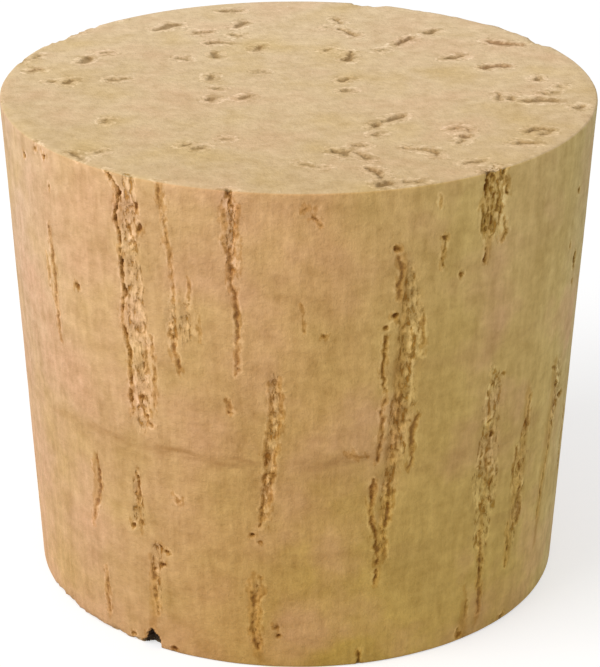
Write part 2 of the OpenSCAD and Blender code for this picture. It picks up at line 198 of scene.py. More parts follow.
    "channels": [
        [(-31.8, 38.0, 1.3), (-31.8, 35.0, 1.5), (-31.6, 32.5, 1.3), (-31.5, 30.5, 1.4), (-31.3, 28.0, 1.5),
         (-31.0, 25.0, 1.8), (-31.0, 21.5, 1.7), (-31.5, 18.5, 1.0)],
        [(-11.9, 37.9, .8), (-11.9, 35.0, .8), (-11.6, 32.0, .6)],
        [(-4.1, 24.0, .6), (-4.2, 21.5, .9), (-4.7, 19.0, .9), (-5.2, 17.0, .9), (-5.8, 14.5, .8),
         (-6.3, 12.8, .6)],
        [(-8.0, 6.8, .5), (-8.4, 5.0, .6), (-8.5, 3.5, .6), (-8.0, 1.8, .5)],
        [(21.0, 32.0, .8), (21.3, 29.5, 1.5), (21.2, 27.0, 1.9), (20.8, 24.0, 1.9), (20.0, 21.0, 1.7),
         (19.3, 18.0, 1.5), (18.0, 15.0, 1.3), (17.4, 12.0, 1.1), (17.0, 9.5, .7)],
        [(38.0, 38.0, 1.9), (38.2, 35.0, 2.0), (38.4, 33.2, 1.3)],
        [(40.8, 22.5, .9), (41.4, 20.0, 1.8), (41.3, 16.0, 2.3), (41.3, 12.5, 2.8), (41.4, 9.5, 1.8),
         (41.6, 5.5, 1.1)],
        [(53.0, 16.5, .7), (52.3, 13.0, 1.6), (52.4, 9.5, 1.5), (50.2, 6.0, .8)],
        [(-33.3, 14.8, .5), (-33.4, 12.5, .9), (-34.0, 10.4, 1.0)],
        [(67.0, 19.0, 1.5), (67.0, 16.5, 1.7), (66.0, 14.5, 1.0)],
        [(-29.6, 8.6, .9), (-29.9, 6.5, .7), (-30.1, 4.0, .6)],
        [(-23.6, 28.8, .6), (-23.4, 27.2, 1.0), (-23.3, 25.9, .7)],
        [(-21.0, 28.8, .5), (-20.5, 27.0, 1.2), (-20.8, 26.0, .5)],
    ],
    # The far side has its own channels, written in the same way.
    "backChannels": [
        [(84.0, 35.0, .8), (84.4, 30.4, 1.4), (84.0, 26.6, .8)],
        [(97.0, 22.8, .8), (97.5, 19.0, 1.5), (97.0, 14.4, 1.7), (96.6, 10.6, .9)],
        [(112.0, 36.1, 1.0), (112.4, 33.4, 1.3), (112.0, 30.4, .7)],
        [(133.0, 29.6, .9), (133.6, 25.8, 1.8), (133.2, 21.7, 2.0), (132.8, 17.5, 1.2)],
        [(146.0, 11.4, .6), (146.3, 7.6, 1.2), (146.0, 3.8, .7)],
        [(171.0, 21.3, .8), (171.8, 17.5, 1.6), (171.4, 12.9, 1.9), (171.0, 8.4, 1.0)],
        [(184.0, 36.5, 1.0), (184.3, 33.4, 1.4), (184.0, 30.0, .8)],
        [(209.0, 10.6, .9), (209.6, 6.8, 1.5), (209.2, 3.0, .9)],
        [(222.0, 31.9, .9), (222.5, 27.4, 1.7), (222.2, 22.8, 1.6), (222.0, 19.0, .8)],
        [(248.0, 28.1, .8), (248.6, 23.9, 1.4), (248.3, 19.8, .8)],
        [(262.0, 12.9, .9), (262.5, 9.1, 1.6), (262.0, 4.9, .9)],
        [(273.0, 35.7, .8), (273.4, 31.9, 1.2), (273.0, 28.1, .6)],
    ],
    # Cracks down an edge of those: (channel, -1 or 1 for its edge, first point, last point, width).
    "backEdges": [
        (1, -1, 0, 3, .4), (1, 1, 1, 3, .35), (2, -1, 0, 2, .4), (3, -1, 0, 3, .4), (3, 1, 1, 3, .35),
        (5, -1, 0, 3, .4), (5, 1, 1, 3, .35), (6, -1, 0, 2, .4), (7, -1, 0, 2, .4), (8, -1, 0, 3, .4),
        (8, 1, 1, 3, .3), (9, -1, 0, 2, .35), (10, -1, 0, 2, .4), (11, 1, 0, 2, .35), (0, -1, 0, 2, .25),
    ],
    # Lone cracks and small pits on the far side, written as those in front.
    "backCracks": [
        ([(126.0, 34.2, .25), (126.3, 31.2, .4), (126.1, 28.5, .2)], .5, .8),
        ([(159.3, 31.9, .25), (159.5, 27.7, .4), (159.0, 23.9, .2)], .2, .8),
        ([(198.8, 23.6, .25), (199.0, 20.5, .35), (198.6, 17.5, .2)], .7, .8),
        ([(237.7, 14.1, .25), (237.9, 10.6, .35), (237.4, 7.6, .2)], .3, .8),
        ([(104.0, 9.1, .2), (104.4, 6.5, .3), (104.0, 3.4, .2)], .4, .8),
        ([(152.0, 22.8, .15), (152.4, 19.4, .25), (152.0, 16.3, .15)], .2, .8),
        ([(190.4, 13.7, .2), (190.8, 10.3, .3), (190.5, 7.2, .15)], .6, .8),
        ([(214.0, 36.5, .15), (214.3, 33.8, .25), (214.0, 31.2, .15)], .2, .8),
        ([(242.0, 35.0, .2), (242.4, 31.9, .3), (242.1, 29.3, .15)], .3, .8),
        ([(255.0, 18.2, .15), (255.4, 15.2, .3), (255.0, 12.2, .15)], .5, .8),
        ([(281.0, 11.4, .15), (281.4, 8.4, .25), (281.0, 5.3, .15)], .2, .8),
    ],
    "backPits": [
        (92, 31.2, .7, .6), (107, 22.0, .6, .5), (123, 20.5, .5, .6), (128, 8.4, .6, .8),
        (150, 28.9, .5, .7), (155, 5.3, .6, .8), (166, 35.0, .6, .5), (187, 22.8, .6, .8),
        (205, 28.1, .6, .6), (217, 13.7, .5, .7), (233, 22.0, .5, .7), (240, 3.8, .6, .6),
        (257, 25.1, .5, .5), (265, 30.4, .6, .7),
    ],
    # Pits in the top face: (across, back, width) along each, then how rusty it is.
    "topPits": [
        ([(-11.4, 14.2, .3), (-10.7, 14.5, .55), (-10.0, 15.4, .75)], .2),
        ([(-8.2, 13.5, .4), (-7.2, 13.6, .4)], .3),
        ([(-5.0, 15.0, .5), (-4.4, 16.2, .5)], .3),
        ([(-5.2, 12.8, .3), (-4.6, 12.6, .3)], .1),
        ([(-7.0, 10.7, .4), (-6.4, 11.0, .5), (-5.6, 10.8, .4)], .2),
        ([(-6.1, 19.2, .4), (-5.5, 19.4, .5), (-4.9, 19.2, .4)], .2),
        ([(-3.3, 8.8, .35), (-3.1, 10.2, .4)], .4),
        ([(-6.6, 8.3, .3), (-6.3, 7.1, .4)], .2),
        ([(-9.2, 6.8, .3), (-8.6, 6.6, .3)], .1),
        ([(-15.2, 8.0, .25), (-14.7, 8.1, .25)], .1),
        ([(-16.6, 5.8, .45), (-16.2, 6.8, .45)], .2),
        ([(-20.2, 6.8, .3), (-20.0, 7.4, .3)], .1),
        ([(-21.4, 5.8, .4), (-21.2, 6.5, .4)], .1),
        ([(-20.3, 3.7, .35), (-19.7, 4.1, .35)], .7),
        ([(-18.8, 1.1, .25), (-18.3, 1.2, .25)], .1),
        ([(-17.3, 0.7, .4), (-17.0, 1.5, .4)], .2),
        ([(-14.1, 1.7, .4), (-13.1, 1.8, .4)], .2),
        ([(-6.7, 1.8, .35), (-6.6, 2.7, .35)], .1),
        ([(-6.2, -0.4, .3), (-5.8, -0.2, .3)], .1),
        ([(-6.5, -3.0, .5), (-6.3, -2.6, .5)], .1),
        ([(-4.3, -2.6, .5), (-3.7, -2.1, .5)], .1),
        ([(-2.9, 3.4, .2), (-2.7, 3.7, .2)], .1),
        ([(-13.9, -8.1, .3), (-13.8, -7.6, .3)], .1),
        ([(-8.1, -13.0, .25), (-7.9, -12.8, .25)], .1),
        ([(-7.2, -13.5, .25), (-6.6, -13.2, .3)], .1),
        ([(-5.3, -11.4, .15), (-4.9, -11.4, .15)], .1),
        ([(-15.7, -14.3, .3), (-15.2, -15.8, .25)], .2),
        ([(-14.1, -14.5, .3), (-13.7, -14.2, .3)], .2),
        ([(3.3, 16.2, .4), (3.0, 17.2, .35)], .2),
        ([(2.1, 14.9, .2), (2.4, 15.0, .2)], .1),
        ([(3.3, 14.6, .4), (3.9, 13.8, .4), (4.4, 12.8, .4)], .2),
        ([(10.3, 13.6, .5), (10.8, 14.3, .5)], .2),
        ([(7.7, 10.6, .4), (8.2, 11.5, .4), (8.8, 12.4, .4)], .3),
        ([(15.0, 11.4, .5), (16.0, 10.8, .7), (17.4, 10.7, .4)], .9),
        ([(2.2, 8.9, .3), (2.5, 9.2, .3)], .1),
        ([(6.3, 8.8, .25), (6.6, 9.3, .25)], .1),
        ([(3.7, 6.7, .6), (3.9, 7.3, .5), (3.9, 8.6, .3)], .3),
        ([(12.6, 7.7, .5), (11.9, 7.3, .6), (11.3, 7.1, .4)], .2),
        ([(14.2, 4.8, .5), (14.8, 5.3, .5), (15.8, 5.2, .6)], .8),
        ([(3.3, 1.6, .4), (3.6, 2.0, .45)], .2),
        ([(3.4, -0.8, .3), (3.8, -0.6, .3)], .1),
        ([(17.9, 2.0, .3), (18.1, 2.6, .3)], .1),
        ([(19.4, 0.3, .25), (19.6, 0.6, .25)], .1),
        ([(18.3, -1.1, .35), (18.9, -1.0, .35)], .1),
        ([(14.9, -2.5, .25), (14.9, -1.3, .25)], .2),
        ([(15.7, -2.6, .2), (15.7, -1.6, .2)], .2),
        ([(16.9, -3.0, .6), (17.6, -2.7, .8), (18.9, -2.8, .5)], .2),
        ([(20.4, -4.4, .35), (20.8, -4.0, .35)], .1),
        ([(7.5, -6.3, .3), (6.9, -7.0, .6), (6.2, -7.7, .3), (5.6, -8.2, .4), (5.2, -9.0, .2)], .2),
        ([(5.5, -10.5, .3), (5.7, -10.1, .3)], .1),
        ([(10.9, -9.3, .2), (11.5, -8.7, .2), (12.2, -9.1, .2), (12.2, -10.2, .3), (11.7, -10.8, .5)], .4),
        ([(11.4, -11.9, .35), (11.6, -11.6, .35)], .1),
        ([(16.4, -9.6, .25), (17.0, -9.0, .35), (17.9, -9.4, .35)], .2),
        ([(17.2, -10.1, .25), (17.7, -9.9, .3)], .2),
        ([(15.1, -12.4, .3), (15.7, -11.8, .35), (16.6, -12.1, .35)], .3),
        ([(7.5, -13.2, .3), (8.6, -13.4, .35), (9.4, -13.9, .45), (9.7, -14.8, .35)], .3),
        ([(2.6, -13.9, .5), (3.2, -14.1, .8), (3.4, -14.6, .4)], .1),
        ([(4.0, -12.7, .3), (4.6, -12.7, .35)], .2),
        ([(4.1, -14.3, .25), (4.5, -14.7, .3), (4.9, -15.3, .3)], .2),
        ([(4.7, -17.4, .3), (5.2, -17.7, .45), (5.6, -18.6, .3), (5.6, -19.1, .2)], .2),
        ([(5.5, -20.4, .6), (6.1, -20.1, .7)], .1),
        ([(7.2, -19.9, .3), (8.3, -19.9, .35)], .1),
        ([(9.2, -21.0, .2), (9.5, -20.9, .2)], .1),
        ([(11.5, -16.3, .35), (12.9, -15.7, .3)], .2),
        ([(0.1, -16.2, .15), (0.9, -16.9, .15), (1.8, -17.3, .15)], .2),
        ([(-17.9, 12.8, .3), (-17.5, 13.2, .3)], .1),
        ([(-14.8, 16.7, .25), (-14.4, 17.0, .25)], .1),
    ],
    # Soft brown stains in the side: (degrees, height, width) down each.
    "stains": [
        [(-53.5, 32.5, .6), (-53.3, 28.0, 1.2), (-53.2, 23.0, .8)],
        [(-44.5, 15.0, .8), (-45.3, 11.5, 1.2), (-46.5, 8.5, .6)],
        [(-33.2, 15.0, .6), (-33.3, 12.0, 1.0), (-33.0, 9.5, .6)],
        [(-30.9, 8.0, .8), (-30.8, 4.5, 1.4), (-31.5, 0.5, 1.2)],
        [(-43.8, 5.5, .5), (-43.8, 1.0, .9)],
        [(-8.8, 8.0, .8), (-8.6, 4.5, 1.6), (-8.0, 0.5, 1.2)],
        [(19.5, 33.0, .8), (19.8, 28.0, 1.8), (19.5, 20.0, 1.8), (17.5, 12.0, 1.4), (16.5, 6.5, .6)],
        [(37.0, 38.0, 3.0), (37.5, 35.0, 2.6), (37.5, 31.5, .8)],
        [(37.6, 4.5, .8), (37.8, 0.2, 1.6)],
        [(40.6, 22.5, .4), (41.0, 17.0, .7), (41.5, 11.0, .9), (41.4, 6.0, 1.2), (41.6, 1.0, .9)],
        [(52.8, 20.0, .8), (52.9, 15.0, 1.8), (51.7, 11.0, 2.6), (49.9, 5.0, 1.4)],
        [(64.0, 20.0, 1.4), (65.0, 15.0, 2.8), (63.0, 9.0, 2.2), (62.5, 4.5, 1.2)],
        [(104.0, 22.0, .8), (104.5, 14.0, 1.8), (104.0, 6.0, .8)],
        [(146.0, 36.0, 1.0), (146.5, 30.0, 1.8), (146.0, 25.0, .6)],
        [(183.0, 20.0, .8), (183.5, 13.0, 2.0), (183.0, 5.0, .8)],
        [(221.0, 34.0, .8), (221.5, 26.0, 1.8), (221.0, 19.0, .6)],
        [(262.0, 16.0, .6), (262.5, 9.0, 1.6), (262.0, 3.0, .6)],
    ],
    # A chip out of the bottom rim, its hollow painted black as shadow: (degrees, height, width) down it,
    # rust and darkness, depth.
    "notch": {"stroke": [(-31.6, 1.35, .4), (-31.7, 0.7, 1.05), (-31.9, 0.0, 1.6)], "look": (0.0, 2.0),
              "depth": 1.2},
    # Wear along the rims: (degrees, 0 for the bottom rim or 1 for the top, width) round it, and its depth.
    "rimWear": [
        ([(-67.0, 0, .3), (-64.0, 0, .7), (-58.0, 0, .6), (-54.0, 0, .5), (-46.0, 0, .5), (-40.0, 0, .4),
          (-35.0, 0, .3)], .22),
        ([(-33.2, 0, .8), (-32.2, 0, 1.4), (-31.3, 0, .8)], .6),
        ([(163.5, 1, 1.0), (165.5, 1, 1.4), (167.0, 1, .8)], .5),
        ([(160.0, 1, .4), (148.0, 1, .6), (135.0, 1, .5), (124.0, 1, .5)], .1),
        ([(123.5, 1, 1.0), (121.0, 1, 1.2), (119.0, 1, .7)], .4),
        ([(-106.5, 1, .4), (-105.5, 1, .4)], .15),
        ([(200.0, 0, .5), (214.0, 0, .7), (226.0, 0, .4)], .25),
        ([(228.0, 1, .4), (236.0, 1, .6), (243.0, 1, .4)], .25),
    ],
}
length = stopper["length"]


def sideRadius(height):
    slope = (stopper["topRadius"] - stopper["bottomRadius"]) / length
    return stopper["bottomRadius"] + slope * height


def onSide(degrees, height):
    turn = math.radians(degrees)
    return (sideRadius(height) * math.sin(turn), -sideRadius(height) * math.cos(turn), height)


def cutDepth(widths):  # wide marks go deeper
    least, perWidth, most = stopper["cutDepth"]
    return min(least + perWidth * max(widths), most)


# A mark is its points, its width at each, its depth, how rusty it is and how dark.
def sideMark(stroke, rust=0.0, dark=1.0, depth=None):
    widths = [width for degrees, height, width in stroke]
    points = [onSide(degrees, height) for degrees, height, width in stroke]
    return points, widths, depth or cutDepth(widths) * dark, rust, dark


def pitMark(degrees, height, width, tall):  # a short stroke, upright or level
    reach = abs(tall - width) / 2 + 0.02  # a round pit still needs a stroke of some length
    up, turn = (reach, 0.0) if tall > width else (0.0, math.degrees(reach / sideRadius(height)))
    ends = [(degrees + way * turn, height + way * up, min(width, tall)) for way in (-1, 1)]
    return sideMark(ends, *stopper["pitLook"])


def faceMark(stroke, rust, height):
    widths = [width * stopper["pitSpread"] for across, back, width in stroke]
    points = [(across, back, height) for across, back, width in stroke]
    left, right = stopper["pitDepth"]
    depth = (left if stroke[0][0] < 0 else right) * cutDepth(widths)
    return points, widths, depth, rust, stopper["pitDark"]


def rimMark(stroke, depth):
    points = [onSide(degrees, rim * length) for degrees, rim, width in stroke]
    return points, [width for degrees, rim, width in stroke], depth, 0.0, 0.0


def edgeMark(channel, edge, first, last, width):  # a crack down one edge of a channel
    stroke = []
    for degrees, height, wide in stopper["backChannels"][channel][first:last + 1]:
        turn = math.degrees(edge * wide / 2 / sideRadius(height))
        stroke.append((degrees + turn, height, width))
    return sideMark(stroke, *stopper["edgeLook"])


rng = random.Random(stopper["seed"])
noise.seed_set(stopper["seed"])
cuts = [sideMark(stroke, rust, dark) for stroke, rust, dark in stopper["cracks"] + stopper["backCracks"]]
cuts += [pitMark(*pit) for pit in stopper["pits"] + stopper["backPits"]]
cuts += [edgeMark(*edge) for edge in stopper["backEdges"]]
cuts += [faceMark(stroke, rust, length) for stroke, rust in stopper["topPits"]]
every, within = stopper["through"]
drift, turnX, turnY = stopper["drift"]
for number, (stroke, rust) in enumerate(stopper["topPits"]):
    driftX = drift * math.sin(math.radians(turnX * number))
    driftY = drift * math.cos(math.radians(turnY * number))
    moved = [(across + driftX, back + driftY, width) for across, back, width in stroke]
    if number % every == 0 and max(math.hypot(across, back) for across, back, width in moved) < within:
        cuts.append(faceMark(moved, rust, 0.0))
hair = stopper["hairlines"]
for _ in range(hair["count"]):
    drawn = [rng.uniform(*hair[part]) for part in ("degrees", "height", "tall", "lean")]
    degrees, height, tall, lean = drawn
    wideTop, wideFoot = hair["widths"]
    stroke = [(degrees, height + tall, wideTop), (degrees + lean, height, wideFoot)]
    cuts.append(sideMark(stroke, *hair["look"]))
notch = stopper["notch"]
cuts.append(sideMark(notch["stroke"], *notch["look"], notch["depth"]))
channels = stopper["channels"] + stopper["backChannels"]
crumbs = [sideMark(stroke, depth=stopper["crumbDepth"]) for stroke in channels]
wear = [rimMark(stroke, depth) for stroke, depth in stopper["rimWear"]]
browned = [sideMark(stroke, depth=1.0) for stroke in stopper["stains"]]  # here the depth is how brown


def waves(parts, place, kind=noise.noise):  # broad noise and finer noise on it
    (broad, broadPerMm), (fine, finePerMm) = parts
    return broad * kind(place * broadPerMm) + fine * kind(place * finePerMm)


def nearness(marks, places, fray):  # gap to the nearest mark's edge, depth cut, rust and darkness
    margin = stopper["margin"]
    gap, cut, rust, dark = [np.full(len(places), start) for start in (margin, 0.0, 0.0, 0.0)]
    for points, widths, depth, rusty, darkness in marks:
        points = np.array(points)
        within = (places > points.min(0) - margin) & (places < points.max(0) + margin)
        near = np.flatnonzero(within.all(1))
        if not len(near):
            continue
        best, half = np.full(len(near), margin), np.ones(len(near))
        for start, end, wide, wideEnd in zip(points, points[1:], widths, widths[1:]):
            run = end - start
            along = np.clip((places[near] - start) @ run / (run @ run), 0, 1)
            halfHere = (wide + (wideEnd - wide) * along) / 2
            offset = places[near] - start - along[:, None] * run
            away = np.linalg.norm(offset, axis=1) - halfHere + fray[near]
            half = np.where(away < best, halfHere, half)
            best = np.minimum(away, best)
        gap[near] = np.minimum(gap[near], best)
        inside = np.clip(-best / half, 0, 1)
        cut[near] = np.maximum(cut[near], depth * np.sqrt(inside))
        fade = np.clip(1 - best / stopper["blur"], 0, 1)
        rust[near] = np.maximum(rust[near], rusty * fade)
        dark[near] = np.maximum(dark[near], darkness * fade)
    return gap, cut, rust, dark


def placesOf(bm):  # vertex places, shifted a little so that marks wander, and the fray of their edges
    places, fray = np.empty((len(bm.verts), 3)), np.empty(len(bm.verts))
    for number, vert in enumerate(bm.verts):
        stray = waves(stopper["wanderWaves"], vert.co, noise.noise_vector)
        places[number] = vert.co + stopper["wander"] * stray
        onEnd = abs(vert.co.z - length / 2) > length / 2 - 0.01
        fray[number] = stopper["fray"][onEnd] * waves(stopper["frayWaves"], vert.co)
    return places, fray


def refine(bm, cell, reach, marks):  # halves the edges near the marks that are longer than cell
    gap = nearness(marks, *placesOf(bm))[0]
    near = gap < reach
    bm.verts.index_update()
    edges = [edge for edge in bm.edges
             if edge.calc_length() > cell and (near[edge.verts[0].index] or near[edge.verts[1].index])]
    bmesh.ops.subdivide_edges(bm, edges=edges, cuts=1, use_grid_fill=True)
    manySided = [face for face in bm.faces if len(face.verts) > 4]
    bmesh.ops.triangulate(bm, faces=manySided, quad_method="BEAUTY", ngon_method="BEAUTY")


def turnBlank():  # the plain turned stopper, as a profile spun round the axis
    bm = bmesh.new()
    top, bottom = stopper["topRadius"], stopper["bottomRadius"]
    rings, rows = stopper["rings"], stopper["rows"]
    profile = [(bottom * ring / rings, 0.0) for ring in range(rings)]
    profile += [(sideRadius(length * row / rows), length * row / rows) for row in range(rows + 1)]
    profile += [(top * ring / rings, length) for ring in range(rings - 1, -1, -1)]
    verts = [bm.verts.new((radius, 0, height)) for radius, height in profile]
    edges = [bm.edges.new(pair) for pair in zip(verts, verts[1:])]
    bmesh.ops.spin(bm, geom=verts + edges, cent=(0, 0, 0), axis=(0, 0, 1), dvec=(0, 0, 0),
                   angle=math.tau, steps=stopper["around"], use_merge=True)
    bmesh.ops.remove_doubles(bm, verts=bm.verts, dist=0.001)
    bmesh.ops.recalc_face_normals(bm, faces=bm.faces)
    rims = [edge for edge in bm.edges if edge.calc_face_angle(0) > 1]  # nothing else turns a radian
    bmesh.ops.bevel(bm, geom=rims, offset=stopper["rimEdge"], segments=3, profile=0.5,
                    affect="EDGES", material=-1)
    return bm


def carveCork():
    bm = turnBlank()
    markSets = (cuts + crumbs + wear, cuts + crumbs, cuts)
    for cell, reach, marks in zip(stopper["cells"], stopper["reach"], markSets):
        refine(bm, cell, reach, marks)
    rimZone, skinZone = 0.5, 0.1
    for vert in bm.verts:  # halved edges of a round side go back out to the taper
        around = math.hypot(vert.co.x, vert.co.y)
        target = sideRadius(vert.co.z)
        if rimZone < vert.co.z < length - rimZone and around > target - skinZone:
            vert.co.x *= target / around
            vert.co.y *= target / around
    bm.normal_update()
    places, fray = placesOf(bm)
    crackGap, cut, rust, dark = nearness(cuts, places, fray)
    crumbGap, crumbCut = nearness(crumbs, places, fray)[:2]
    worn, stain = nearness(wear, places, fray)[1], nearness(browned, places, fray)[1]
    endGrain = np.array([abs(vert.normal.z) > 0.7 for vert in bm.verts], dtype=float)  # the flat ends
    for number, vert in enumerate(bm.verts):
        side = 1 - vert.normal.z ** 2
        hollow = stopper["sag"] * (0.5 + 0.5 * noise.noise(vert.co * stopper["sagWaves"])) * side
        hollow += stopper["skin"] * (1 + noise.noise(vert.co * stopper["skinWaves"]))
        lumps = stopper["crumbLumps"] + waves(stopper["lumpWaves"], vert.co)
        depth = hollow + max(cut[number], crumbCut[number] * lumps, 0) + worn[number]
        vert.co -= vert.normal * depth
    bmesh.ops.scale(bm, vec=[1 / perMetre] * 3, verts=bm.verts)
    mesh = bpy.data.meshes.new("corkStopper")
    bm.to_mesh(mesh)
    bm.free()
    mesh.polygons.foreach_set("use_smooth", [True] * len(mesh.polygons))
    fields = {"crackGap": crackGap, "crumbGap": crumbGap, "rust": rust, "crackDark": dark, "stain": stain,
              "endGrain": endGrain}
    for name, values in fields.items():
        mesh.attributes.new(name, "FLOAT", "POINT").data.foreach_set("value", values.astype(np.float32))
    return mesh


cork = bpy.data.objects.new("carvedCork", carveCork())
bpy.context.collection.objects.link(cork)
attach(cork, "root")
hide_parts("cork_stopper")
cork.data.calc_loop_triangles()
print("stopper carved:", len(cork.data.loop_triangles), "triangles")


def linear(code):  # an sRGB hex colour as linear RGBA
    parts = [int(code[at:at + 2], 16) / 255 for at in (1, 3, 5)]
    return [part / 12.92 if part <= 0.04045 else ((part + 0.055) / 1.055) ** 2.4 for part in parts] + [1.0]


def addNode(tree, kind, settings=None, inputs=None, stops=None):
    node = tree.nodes.new("ShaderNode" + kind)
    for name, value in (settings or {}).items():
        setattr(node, name, value)
    for name, value in (inputs or {}).items():
        if isinstance(value, bpy.types.NodeSocket):
            tree.links.new(value, node.inputs[name])
        else:
            node.inputs[name].default_value = value
    for number, (position, colour) in enumerate(stops or []):
        ramp = node.color_ramp
        stop = ramp.elements[number] if number < 2 else ramp.elements.new(position)
        stop.position, stop.color = position, colour
    return node


# Bark cork, cut across the bark with a knife and turned: dry and matt, with no shine at all. The side
# is cut along the lenticels, so it shows faint level year lines, upright fibres and brown cracks.
# The two ends are cut across them, so they are paler and grainier, with pits.
# Pairs are for the side and the ends. Fades are the numbers of a Map Range: 1 and 2 are where it starts
# and ends, 3 and 4 what it makes of them.
bark = {
    "roughness": 0.92,
    "specular": 0.25,
    "sideHigh": [(-180, "#deb68a"), (-70, "#e5c09b"), (-45, "#e9bd8a"), (-16, "#e1b379"), (5, "#e9b679"),
                 (31, "#e8c478"), (48, "#f0cc87"), (62, "#e9cb83"), (78, "#e4cd92"), (110, "#e0ba82"),
                 (180, "#deb68a")],  # degrees round the side and the colour there, near the top
    "sideLowShaded": [(-180, "#d8a972"), (-70, "#e4b688"), (-45, "#d9ab7a"), (-16, "#d0a060"), (5, "#cca44d"),
                (31, "#deb763"), (48, "#e0bc65"), (62, "#ecca7b"), (78, "#ebd190"), (110, "#dab072"),
                (180, "#d8a972")],  # and near the bottom, darker over most of the way round: partly the cork's own tone, partly painted shade where less light reaches the foot
    "toneFrom": 2.0,  # millimetres from each rim where the one starts to turn into the other
    "endNear": "#e1c191",
    "endFar": "#f0d3a8",
    "endReach": 20.0,  # millimetres from the middle to where the ends have these two colours
    # Width and height of each pattern's waves in millimetres, then detail and roughness.
    "patterns": {
        "hue": (6.25, 6.25, 3.0, 0.5),  # pink and straw clouds
        "clouds": (7.143, 7.143, 2.0, 0.5),  # light and dark clouds
        "wisps": (1.111, 1.111, 3.0, 0.6),
        "fibres": (0.6667, 4.167, 3.0, 0.65),  # upright, along the lenticels
        "layers": (4.274, 0.9259, 3.0, 0.6),  # level, along the years' growth
        "grain": (0.4167, 0.4167, 4.0, 0.7),  # clumps of cells: single ones, 0.04 mm, are too fine to show
        "waver": (2.5, 2.5, 4.0, 0.6),  # of the year lines
        "fading": (9.091, 9.091, 1.0, 0.5),  # where the fainter year lines come and go
        "ragged": (0.7692, 2.024, 3.0, 0.6),  # torn edges of the crumbled channels
        "dashes": (0.3333, 0.8772, 3.0, 0.6),  # torn cork in them
        "frayed": (0.3571, 0.3571, 4.0, 0.7),  # torn edges of cracks and pits
    },
    "pink": "#e8ac88",
    "pinkFade": {1: 0.5, 2: 0.72, 3: 0.0},
    "pinkMost": (0.4, 0.24),
    "straw": "#d6b264",
    "strawFade": {1: 0.5, 2: 0.28, 3: 0.0, 4: 0.4},
    "shade": {"clouds": (0.32, 0.16), "wisps": (0.56, 0.52), "fibres": (0.46, 0.0), "layers": (0.2, 0.0),
              "grain": (0.28, 0.3)},  # how much each pattern lightens and darkens
    "warm": (0.9, 1.1, 1.5),  # and what of that each of red, green and blue gets: dark cork is browner
    "yearLine": "#b98850",
    "bend": [(-70, 15.9, 0), (-64, 16.1, .3), (-51, 16.8, .5), (-45, 17.1, .5), (-30, 17.2, .4),
             (-25, 17.2, 1), (-12, 17.15, 1), (-6, 17.1, .6), (5, 17.1, .5), (8, 17.3, .9), (14, 17.5, .8),
             (18, 17.3, .1), (40, 17.0, 0)],  # the strong year line: degrees, height and strength
    "bendTop": 40.0,  # the height that is 1 in its ramp
    "bendWaver": {3: -1.0, 4: 1.0},
    "bendFade": {1: 0.7, 2: 0.0},
    "bendBroken": {1: 0.36, 2: 0.6, 3: 0.9, 4: 0.1},
    "years": [(0, 0), (9.6, 0), (10.8, .3), (11.3, 0), (16.6, .1), (17.4, .3), (18.6, 0), (24.6, 0),
              (25.6, .3), (26.2, 0), (32.0, 0), (33.0, .3), (33.5, 0)],  # the faint ones: height, strength
    "yearTop": 42.0,
    "yearWaver": 2.6,
    "yearFade": {1: 0.4, 2: 0.6, 3: 0.0, 4: 0.6},
    "crumb": "#ddc898",  # the cork's own colour is multiplied by this in the dashes
    "crumbRagged": 1.4,
    "crumbFade": {1: 0.75, 2: 0.45},
    "dashFade": {1: 0.49, 2: 0.34},
    # painted highlight on the chips between the dashes
    "chipHighlightFade": {1: 0.52, 2: 0.6, 3: 0.0, 4: 0.8},
    "stain": ("#eadfc8", "#ebe6dc"),  # by these in stains, cracks and the depth of cracks, the last partly painted shade in the hollow
    "crack": ("#d8c690", "#d6d1c2"),
    "crackDeepShaded": ("#ab8e62", "#c8bca2"),
    "paintedHighlight": (1.28, 1.33, 1.5, 1.0),  # and by this on chips and torn edges: a painted highlight where they would catch the light
    "fray": (0.5, 0.9),
    "stainRagged": 1.6,
    "stainEnd": -0.42,  # stains reach this much further on the ends, and the painted highlights round cracks this
    "highlightEnd": -0.37,
    "stainFade": {1: 1.05, 2: 0.8},
    "stainBroad": {1: 0.9, 2: 1.45},
    # The painted highlight round cracks and pits: how strong at most on the side and the ends, its fade and
    # how it breaks up.
    "highlightMost": (0.8, 1.0),
    "highlightFade": {1: 0.34, 2: 0.14},
    "highlightBroken": {1: 0.4, 2: 0.51, 3: 0.0},
    "rust": "#c27c45",
    "rustMost": 0.5,
    "crackSoft": (0.1, 0.26),  # where cracks and pits start to show, and where they are full
    "crackFull": -0.05,
    # the middle of cracks and pits, partly painted shade in the hollow: where it starts and where it is
    # full
    "deepShadeFade": {1: 0.0, 2: -0.14},
    "darkFade": {3: 0.3, 4: 1.0},
    # painted shadow in the hollow of the chip out of the bottom rim
    "notch": "#20150d",
    "notchShadowFade": {1: 1.2, 2: 1.8, 3: 0.0, 4: 0.95},  # only the chip's painted shadow is as dark as this
    "crumbBump": -1.0,
    "fibreBump": 0.5,
    "bump": {"Strength": 0.7, "Distance": 0.00015},
}

product = {"operation": "MULTIPLY"}
productSum = {"operation": "MULTIPLY_ADD"}
smooth = {"interpolation_type": "SMOOTHSTEP"}
mixed = {"data_type": "RGBA"}  # such a Mix has its share at input 0, its colours at 6 and 7, and output 2
tinted = {"data_type": "RGBA", "blend_type": "MULTIPLY"}

